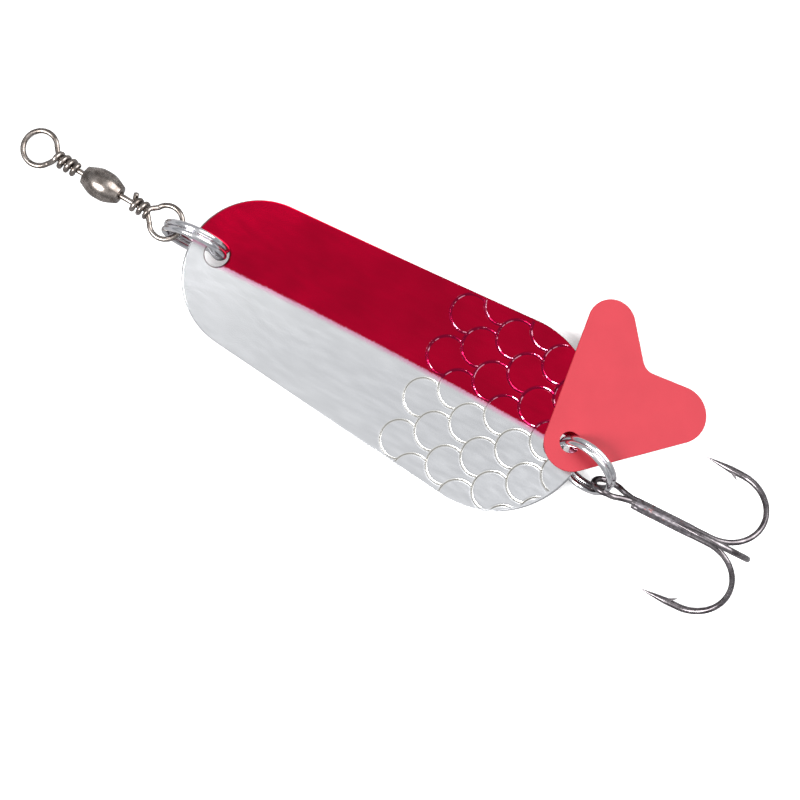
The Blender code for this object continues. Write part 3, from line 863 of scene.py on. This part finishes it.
def make_blade(finish):
    sheet = new_object("flat_blade", clean(flat_blade()))
    bent = run_tree(sheet, scale_tree(), "blade_bent", Finish=finish)
    slope = asin(BLADE_HOLE_X / (BLADE_BEND_RADIUS - BLADE_THICKNESS / 2))
    drills = [hole_cutter(side * slope) for side in (-1, 1)]
    blade = worked(bent, drills, "DIFFERENCE", "stamped_blade", finish)
    return settle(blade, Matrix.Identity(4), "blade", "blade_plate", "spoon_blade")


# ---------------------------------------------------------------- wires


def wire(name, points, diameter, tree, finish, scales=None):
    """A wire along the points, as thick at each as its scale says, made by the sweep tree."""
    curve = bpy.data.curves.new(name, "CURVE")
    curve.dimensions = "3D"
    curve.twist_mode = "MINIMUM"
    spline = curve.splines.new("POLY")
    spline.points.add(len(points) - 1)
    for i, place in enumerate(points):
        spline.points[i].co = (*place, 1)
        spline.points[i].radius = scales[i] if scales else 1.0
    swept = run_tree(
        new_object(f"{name}_path", curve), tree, name, Diameter=diameter, Finish=finish
    )
    clean(swept.data)
    return swept


def snipped(points, diameter, scales=None, both=True):
    """Adds the small worn bevel of a cut wire at its ends."""
    scales = list(scales or [1.0] * len(points))
    bevel = diameter * 0.1
    start = (points[1] - points[0]).normalized()
    points = [points[0], points[0] + start * bevel, *points[1:]]
    scales = [0.8, scales[0], *scales[1:]]
    if both:
        end = (points[-2] - points[-1]).normalized()
        points = [*points[:-1], points[-1] + end * bevel, points[-1]]
        scales = [*scales[:-1], scales[-1], 0.8]
    return points, scales


def make_ring(name, joint, split_angle, node, tree, finish):
    """Two turns less a gap: the wire changes coils just before it would meet its own start."""
    end = 720 - RING_STEP_DEG - 2 * RING_END_GAP_DEG
    points = []
    for angle in spread(0, end, 150):
        step = ease((angle - 360 + RING_END_GAP_DEG + RING_STEP_DEG) / RING_STEP_DEG)
        place = polar(RING_MEAN_RADIUS, split_angle + angle)
        points.append(place + AXIS_Z * RING_COIL_PITCH * (step - 0.5))
    points, scales = snipped(points, RING_WIRE)
    ring = wire(name, points, RING_WIRE, tree, finish, scales)
    axis = joint_axis(joint)
    place = stand(joint_place(joint), AXIS_Z.cross(axis), axis)
    return settle(ring, place, name, "bright_nickel", node)


def make_eye(name, radius, turns, flare, forward, node, tree, finish):
    """One swivel eye: its head in the barrel, its throat, its loop and the wire wrapped round the throat."""
    root = BARREL_TO_EYE - radius
    head_start = HEAD_INSET - HEAD_LENGTH
    head = [
        (head_start, 0.8 * HEAD_SCALE),
        (head_start + HEAD_BEVEL, HEAD_SCALE),
        (HEAD_INSET - HEAD_BEVEL, HEAD_SCALE),
        (HEAD_INSET, 1.0),
    ]
    bend = [AXIS_X * (root - back) for back in EYE_THROAT]
    reach = 180 - EYE_OPENING_DEG
    centre = AXIS_X * BARREL_TO_EYE
    loop = [centre + polar(radius, angle) for angle in spread(-reach, reach, 17)]
    wrap = []
    for angle in spread(WRAP_START, WRAP_START + 360 * turns, int(9 * turns) + 1):
        along = root - WRAP_SETBACK - WRAP_PITCH * (angle - WRAP_START) / 360
        wrap.append(AXIS_X * along + spoke(angle) * WRAP_RADIUS)
    wrap[-1] = wrap[-1] + spoke(WRAP_START + 360 * turns) * WRAP_RADIUS * (flare - 1)
    path = through(bend + loop + wrap, 5)
    points = [AXIS_X * x for x, _ in head] + path
    scales = [scale for _, scale in head] + [1.0] * len(path)
    bevel = EYE_WIRE * 0.1
    back = (points[-2] - points[-1]).normalized()
    points.insert(-1, points[-1] + back * bevel)
    scales.insert(-1, 1.0)
    scales[-1] = 0.8
    eye = wire(name, points, EYE_WIRE, tree, finish, scales)
    place = stand(joint_place("barrel_spin"), forward, AXIS_Z)
    return settle(eye, place, name, "black_nickel", node)


def make_barrel(forward, finish):
    """A spun barrel: a smooth belly, a soft shoulder and a crimped nose at each end."""
    half = BARREL_LENGTH / 2
    outside = [
        (half, BARREL_HOLE_RADIUS + 0.08 * MM),
        (half, BARREL_END_RADIUS - 0.16 * MM),
        (half - 0.05 * MM, BARREL_END_RADIUS - 0.05 * MM),
        (half - 0.2 * MM, BARREL_END_RADIUS),
        (half * 0.66, BARREL_SHOULDER_RADIUS - 0.06 * MM),
        (half * 0.6, BARREL_SHOULDER_RADIUS + 0.02 * MM),
        (half * 0.45, BARREL_RADIUS * 0.93),
        (half * 0.3, BARREL_RADIUS * 0.98),
        (half * 0.15, BARREL_RADIUS * 0.996),
        (0, BARREL_RADIUS),
    ]
    inside = [
        (half - BARREL_WALL, BARREL_HOLE_RADIUS),
        (half - BARREL_WALL, HEAD_SCALE * EYE_WIRE / 2 + HEAD_CLEARANCE),
        (0, BARREL_RADIUS - BARREL_WALL),
    ]
    mirrored_outside = [(-x, radius) for x, radius in reversed(outside[:-1])]
    mirrored_inside = [(-x, radius) for x, radius in inside[:-1]]
    profile = outside + mirrored_outside + mirrored_inside + list(reversed(inside))
    shape = bmesh.new()
    verts = [shape.verts.new((x, 0, radius)) for x, radius in profile]
    edges = [shape.edges.new((verts[i - 1], verts[i])) for i in range(len(verts))]
    bmesh.ops.spin(
        shape, geom=verts + edges, cent=(0, 0, 0), axis=AXIS_X, angle=2 * pi, steps=56, use_merge=True
    )
    barrel = new_object("swivel_barrel_body", clean(mesh_of(shape, "swivel_barrel", finish)))
    place = stand(joint_place("barrel_spin"), forward, AXIS_Z)
    return settle(barrel, place, "barrel", "black_nickel", "swivel_barrel")


# ---------------------------------------------------------------- treble hook


def hook_bend(angle):
    """The path of one hook from its shank round to its point, and its thickness along it."""
    out = spoke(angle)
    radius = HOOK_BEND_CENTRE - HOOK_WIRE_OFFSET
    points = []
    scales = []
    for turn in spread(-90, HOOK_BEND_TURN - 90, 41):
        along = HOOK_BEND_X + radius * cos(radians(turn))
        points.append(AXIS_X * along + out * (HOOK_BEND_CENTRE + radius * sin(radians(turn))))
        scales.append(1 + (HOOK_FORGED_SCALE - 1) * max(turn, 0) / (HOOK_BEND_TURN - 90))
    heading = (points[-1] - points[-2]).normalized()
    tip = points[-1] + heading * HOOK_POINT_LENGTH
    for share in spread(0.0, 1.0, 9):
        points.append(tip - heading * HOOK_TAPER_LENGTH * (1 - share))
        scales.append(HOOK_FORGED_SCALE + (HOOK_TIP_SCALE - HOOK_FORGED_SCALE) * share**1.1)
    return points, scales


def make_barb(angle):
    """A sliver cut from the inner side of the point and raised, aiming back into the bend."""
    points, _ = hook_bend(angle)
    heading = (points[-2] - points[-1]).normalized()
    inward = (spoke(angle) * -1 - heading * heading.dot(spoke(angle) * -1)).normalized()
    across = heading.cross(inward)
    root = points[-9] + inward * BARB_HALF_WIDTH / 2
    tip = root + heading * BARB_LENGTH + inward * BARB_HEIGHT
    flat = (root - heading * BARB_LENGTH / 4, root + heading * BARB_LENGTH / 3, tip)
    widths = (1.0, 1.0, 0.25)
    shape = bmesh.new()
    sides = []
    for side in (-1, 1):
        corners = zip(flat, widths)
        sides.append([shape.verts.new(p + across * side * BARB_HALF_WIDTH * w) for p, w in corners])
    shape.faces.new(sides[0])
    shape.faces.new(reversed(sides[1]))
    for i in range(3):
        shape.faces.new((sides[0][i - 1], sides[0][i], sides[1][i], sides[1][i - 1]))
    return new_object("barb", clean(mesh_of(shape, "barb")))


def with_barbs(hook, angles, finish):
    name = hook.name
    hook.name = f"{name}_plain"
    return worked(hook, [make_barb(angle) for angle in angles], "UNION", name, finish)


def hook_frame():
    heading = polar(cos(radians(HOOK_RISE)), HOOK_AZIMUTH) + AXIS_Z * sin(radians(HOOK_RISE))
    return stand(joint_place("hook_swing") + HOOK_FROM_LINK, heading, AXIS_Z)


def make_double_hook(tree, finish):
    """One wire: a hook, its shank, the line of the eye, the second shank and the second hook."""
    across = spoke((TOP_HOOK + PAINTED_SIDE_HOOK) / 2 + 90)
    out = spoke((TOP_HOOK + PAINTED_SIDE_HOOK) / 2) * (HOOK_WIRE_OFFSET * cos(radians(60)))
    apart = HOOK_WIRE_OFFSET * sin(radians(60))
    circle = [polar(HOOK_EYE_RADIUS, angle) for angle in spread(70, 290, 12)]
    loop = [(HOOK_EYE_X + place.x, place.y) for place in circle]
    neck = [(x, apart * share) for x, share in HOOK_NECK]
    outline = neck + loop + [(x, -y) for x, y in reversed(neck)]
    eye = through([AXIS_X * x + across * y + out for x, y in outline], 5)
    first, first_scales = hook_bend(TOP_HOOK)
    second, second_scales = hook_bend(PAINTED_SIDE_HOOK)
    points = first[::-1] + eye + second
    scales = first_scales[::-1] + [1.0] * len(eye) + second_scales
    hook = wire("double_hook", points, HOOK_WIRE, tree, finish, scales)
    hook = with_barbs(hook, (TOP_HOOK, PAINTED_SIDE_HOOK), finish)
    return settle(hook, hook_frame(), "treble", "black_nickel", "hook_double_wire")


def make_single_hook(tree, finish):
    bend, scales = hook_bend(PLATED_SIDE_HOOK)
    start = AXIS_X * HOOK_SHANK_START + spoke(PLATED_SIDE_HOOK) * HOOK_WIRE_OFFSET
    points, scales = snipped([start] + bend, HOOK_WIRE, [1.0] + scales, both=False)
    hook = wire("single_hook", points, HOOK_WIRE, tree, finish, scales)
    hook = with_barbs(hook, (PLATED_SIDE_HOOK,), finish)
    return settle(hook, hook_frame(), "treble", "black_nickel", "hook_single_wire")


def lobe_reach(angle, radius):
    """How far the outline of the three shank wires, each grown to this radius, is from the shank's axis."""
    across = HOOK_WIRE_OFFSET * sin(radians(angle))
    return HOOK_WIRE_OFFSET * cos(radians(angle)) + sqrt(max(radius**2 - across**2, 0))


def off_wire(angle):
    """The angle in degrees between a spoke and the nearest shank."""
    return abs((angle - TOP_HOOK + 60) % 120 - 60)


def braze_reach(angle, share, pits):
    """How far the solder stands out: thin at both ends, flat between the wires, pitted away from them."""
    fill = min(ease(share / 0.12), ease((1 - share) / 0.16))
    thin = BRAZE_GAP + BRAZE_SKIN
    coat = HOOK_WIRE / 2 + thin + (BRAZE_COAT - thin) * fill
    turn = off_wire(angle)
    reach = lobe_reach(turn, coat)
    if turn > 30:
        flat = (HOOK_WIRE_OFFSET / 2 + coat) / cos(radians(60 - turn))
        reach += (flat - reach) * (0.35 + 0.65 * fill)
    if turn > 8:
        deepest = 0.0
        for place, side, size in pits:
            gap = (angle - side + 180) % 360 - 180
            bowl = 1 - ((share - place) / BRAZE_PIT_LENGTH) ** 2 - (gap / BRAZE_PIT_DEG) ** 2
            deepest = max(deepest, size * bowl)
        reach -= BRAZE_PIT_DEPTH * deepest
    return max(reach, lobe_reach(turn, HOOK_WIRE / 2 + BRAZE_GAP) + 0.003 * MM)


def make_braze(finish):
    """Solder that fills the valleys between the shanks in soft lumps and runs out thin at both ends."""
    rng = np.random.default_rng(7)
    pits = [(rng.uniform(0, 1), rng.uniform(0, 360), rng.uniform(0.4, 1.0)) for _ in range(BRAZE_PITS)]
    angles = [360 * i / 72 for i in range(72)]
    shape = bmesh.new()
    rings = []

    def ring_at(x, reaches):
        places = [AXIS_X * x + spoke(angle) * reach for angle, reach in zip(angles, reaches)]
        rings.append([shape.verts.new(place) for place in places])

    for share in spread(0, 1, 90):
        x = BRAZE_START + (BRAZE_END - BRAZE_START) * share
        ring_at(x, [braze_reach(angle, share, pits) for angle in angles])
    for x in (BRAZE_END, BRAZE_START):
        ring_at(x, [lobe_reach(off_wire(angle), HOOK_WIRE / 2 + BRAZE_GAP) for angle in angles])
    for i in range(len(rings)):
        for j in range(len(angles)):
            corners = (rings[i - 1][j - 1], rings[i - 1][j], rings[i][j], rings[i][j - 1])
            shape.faces.new(corners)
    braze = new_object("shank_braze", clean(mesh_of(shape, "braze", finish)))
    return settle(braze, hook_frame(), "treble", "solder", "hook_braze")


# ---------------------------------------------------------------- tail flag


def arc(centre, radius, start, end, count):
    """Points on an arc in the XY plane with their outward normals, its angles in degrees."""
    middle = Vector((*centre, 0))
    return [(middle + polar(radius, angle), polar(1, angle)) for angle in spread(start, end, count)]


def tangent_angle(first, second):
    """The angle of the outward normal where one straight side touches two circles, both on its left."""
    run = Vector(second[:2]) - Vector(first[:2])
    return degrees(atan2(run.y, run.x)) - 90 - degrees(asin((second[2] - first[2]) / run.length))


def notch_angle(lobe, side):
    """The angle of the outward normal where the line to the notch leaves a lobe."""
    run = Vector(FLAG_NOTCH) - Vector(lobe[:2])
    return degrees(atan2(run.y, run.x)) + side * degrees(acos(lobe[2] / run.length))


def flag_outline():
    """Counter-clockwise: round the root, the wide lobe, the notch and the long lobe."""
    low_side = tangent_angle(FLAG_ROOT, FLAG_WIDE_LOBE)
    high_side = tangent_angle(FLAG_LONG_LOBE, FLAG_ROOT) % 360
    wide_inner = notch_angle(FLAG_WIDE_LOBE, -1)
    long_inner = notch_angle(FLAG_LONG_LOBE, 1)
    sides = polar(1, wide_inner) + polar(1, long_inner)
    half_turn = radians(wide_inner - long_inner) / 2
    notch = Vector((*FLAG_NOTCH, 0)) + sides * FLAG_NOTCH_RADIUS / (2 * cos(half_turn) ** 2)
    outline = arc(FLAG_ROOT[:2], FLAG_ROOT[2], high_side, low_side + 360, 40)
    outline += arc(FLAG_WIDE_LOBE[:2], FLAG_WIDE_LOBE[2], low_side, wide_inner, 40)
    inner = arc(notch[:2], FLAG_NOTCH_RADIUS, wide_inner + 180, long_inner + 180, 20)
    outline += [(place, -normal) for place, normal in inner]
    outline += arc(FLAG_LONG_LOBE[:2], FLAG_LONG_LOBE[2], long_inner, high_side, 40)
    return outline


def make_flag(finish):
    """A die-cut tongue: flat faces, edges a little rolled by the cut, and a punched hole."""
    edge = []
    for angle in (radians(a) for a in spread(0, 90, 4)):
        drop = FLAG_EDGE_ROUND * (1 - cos(angle))
        edge.append((FLAG_EDGE_ROUND * (1 - sin(angle)), FLAG_THICKNESS / 2 - drop))
    edge += [(inset, -height) for inset, height in reversed(edge)]
    shape = bmesh.new()

    def loops(outline):
        made = []
        for inset, height in edge:
            made.append([shape.verts.new(p - n * inset + AXIS_Z * height) for p, n in outline])
        for loop, following in zip(made, made[1:]):
            for i in range(len(loop)):
                shape.faces.new((loop[i - 1], loop[i], following[i], following[i - 1]))
        return made[0], made[-1]

    rim = loops(flag_outline())
    hole = loops([(polar(FLAG_HOLE_RADIUS, a), -polar(1, a)) for a in spread(360, 360 / 40, 40)])
    shape.edges.ensure_lookup_table()
    for outer, inner in zip(rim, hole):
        edges = []
        for loop in (outer, inner):
            edges += [shape.edges.get((loop[i - 1], loop[i])) for i in range(len(loop))]
        bmesh.ops.triangle_fill(shape, edges=edges, use_beauty=True, use_dissolve=False)
    flag = new_object("vinyl_flag", clean(mesh_of(shape, "flag", finish), radians(12)))
    heading = polar(cos(radians(FLAG_SLOPE)), FLAG_AZIMUTH) - AXIS_Z * sin(radians(FLAG_SLOPE))
    place = stand(joint_place("flag_swing"), heading, AXIS_Z)
    return settle(flag, place, "flag", "flag_plastic", "tail_flag")


# ---------------------------------------------------------------- studio


def make_studio():
    """A white card floor, a grey room seen only in reflections, plain white behind, and two soft lamps."""
    reach = 6.0
    mesh = bpy.data.meshes.new("floor")
    level = CAD_BOX[0].z - 0.02 * MM
    corners = [(x * reach, y * reach, level) for x, y in ((-1, -1), (1, -1), (1, 1), (-1, 1))]
    mesh.from_pydata(corners, [], [(0, 1, 2, 3)])
    mesh.materials.append(floor_finish())
    new_object("floor", mesh)

    world = bpy.data.worlds.new("studio")
    bpy.context.scene.world = world
    world.use_nodes = True
    tree = world.node_tree
    direction = add(tree, "ShaderNodeTexCoord").outputs["Generated"]
    height = add(tree, "ShaderNodeSeparateXYZ", {"Vector": direction}).outputs["Z"]
    shade = tree.nodes.new("ShaderNodeValToRGB")
    tree.links.new(height, shade.inputs[0])
    stops = shade.color_ramp.elements
    stops[0].position = 0.0
    stops[0].color = linear("#c4c6c8")
    stops[1].position = 1.0
    stops[1].color = linear("#d9dadb")
    for position, code in ((0.18, "#8f9194"), (0.45, "#b0b2b4"), (0.75, "#d0d1d3")):
        stop = stops.new(position)
        stop.color = linear(code)
    background = tree.nodes["Background"]
    tree.links.new(shade.outputs["Color"], background.inputs["Color"])
    plain = add(tree, "ShaderNodeBackground", {"Color": linear("#ffffff"), "Strength": 1.2})
    path = add(tree, "ShaderNodeLightPath").outputs["Is Camera Ray"]
    mix = add(tree, "ShaderNodeMixShader", {0: path, 1: background, 2: plain})
    tree.links.new(mix.outputs[0], tree.nodes["World Output"].inputs["Surface"])

    for name, place, size, power in (
        ("window", (-0.38, -0.43, 0.75), 0.45, 10.0),
        ("fill", (0.4, 0.5, 0.65), 0.9, 9.0),
    ):
        lamp = bpy.data.lights.new(name, "AREA")
        lamp.shape = "DISK"
        lamp.size = size
        lamp.energy = power
        obj = new_object(name, lamp)
        obj.matrix_world = stand(Vector(place), AXIS_X, AXIS_Z)
        obj.rotation_euler = (-Vector(place)).to_track_quat("-Z", "Y").to_euler()


def make_camera():
    """Straight above the lure, turned so that its nose points up and to the left."""
    data = bpy.data.cameras.new("camera")
    data.sensor_width = CAMERA_SENSOR
    data.lens = CAMERA_SENSOR * CAMERA_DISTANCE / CAMERA_VIEW_WIDTH
    data.clip_start = 0.01
    data.clip_end = 20.0
    camera = new_object("camera", data)
    camera.location = CAMERA_PLACE
    camera.rotation_euler = (0, 0, CAMERA_TURN)
    bpy.context.scene.camera = camera


def main():
    ring = ring_finish()
    swivel = swivel_finish()
    hook = hook_finish()
    sweep = wire_tree()
    forward = joint_axis("barrel_spin")
    make_blade(blade_finish())
    make_ring("front_ring", "front_ring_turn", FRONT_RING_SPLIT, "front_split_ring", sweep, ring)
    make_ring("rear_ring", "rear_ring_turn", REAR_RING_SPLIT, "rear_split_ring", sweep, ring)
    rear = (REAR_EYE_MEAN_RADIUS, REAR_WRAP_TURNS, CUT_END_FLARE)
    front = (FRONT_EYE_MEAN_RADIUS, FRONT_WRAP_TURNS, 1.0)
    make_eye("rear_eye", *rear, -forward, "swivel_rear_eye", sweep, swivel)
    make_eye("front_eye", *front, forward, "swivel_front_eye", sweep, swivel)
    make_barrel(forward, swivel)
    make_double_hook(sweep, hook)
    make_single_hook(sweep, hook)
    make_braze(braze_finish())
    make_flag(flag_finish())
    make_studio()
    make_camera()
    bpy.context.scene.view_settings.view_transform = "Standard"


main()
bpy.context.view_layer.update()
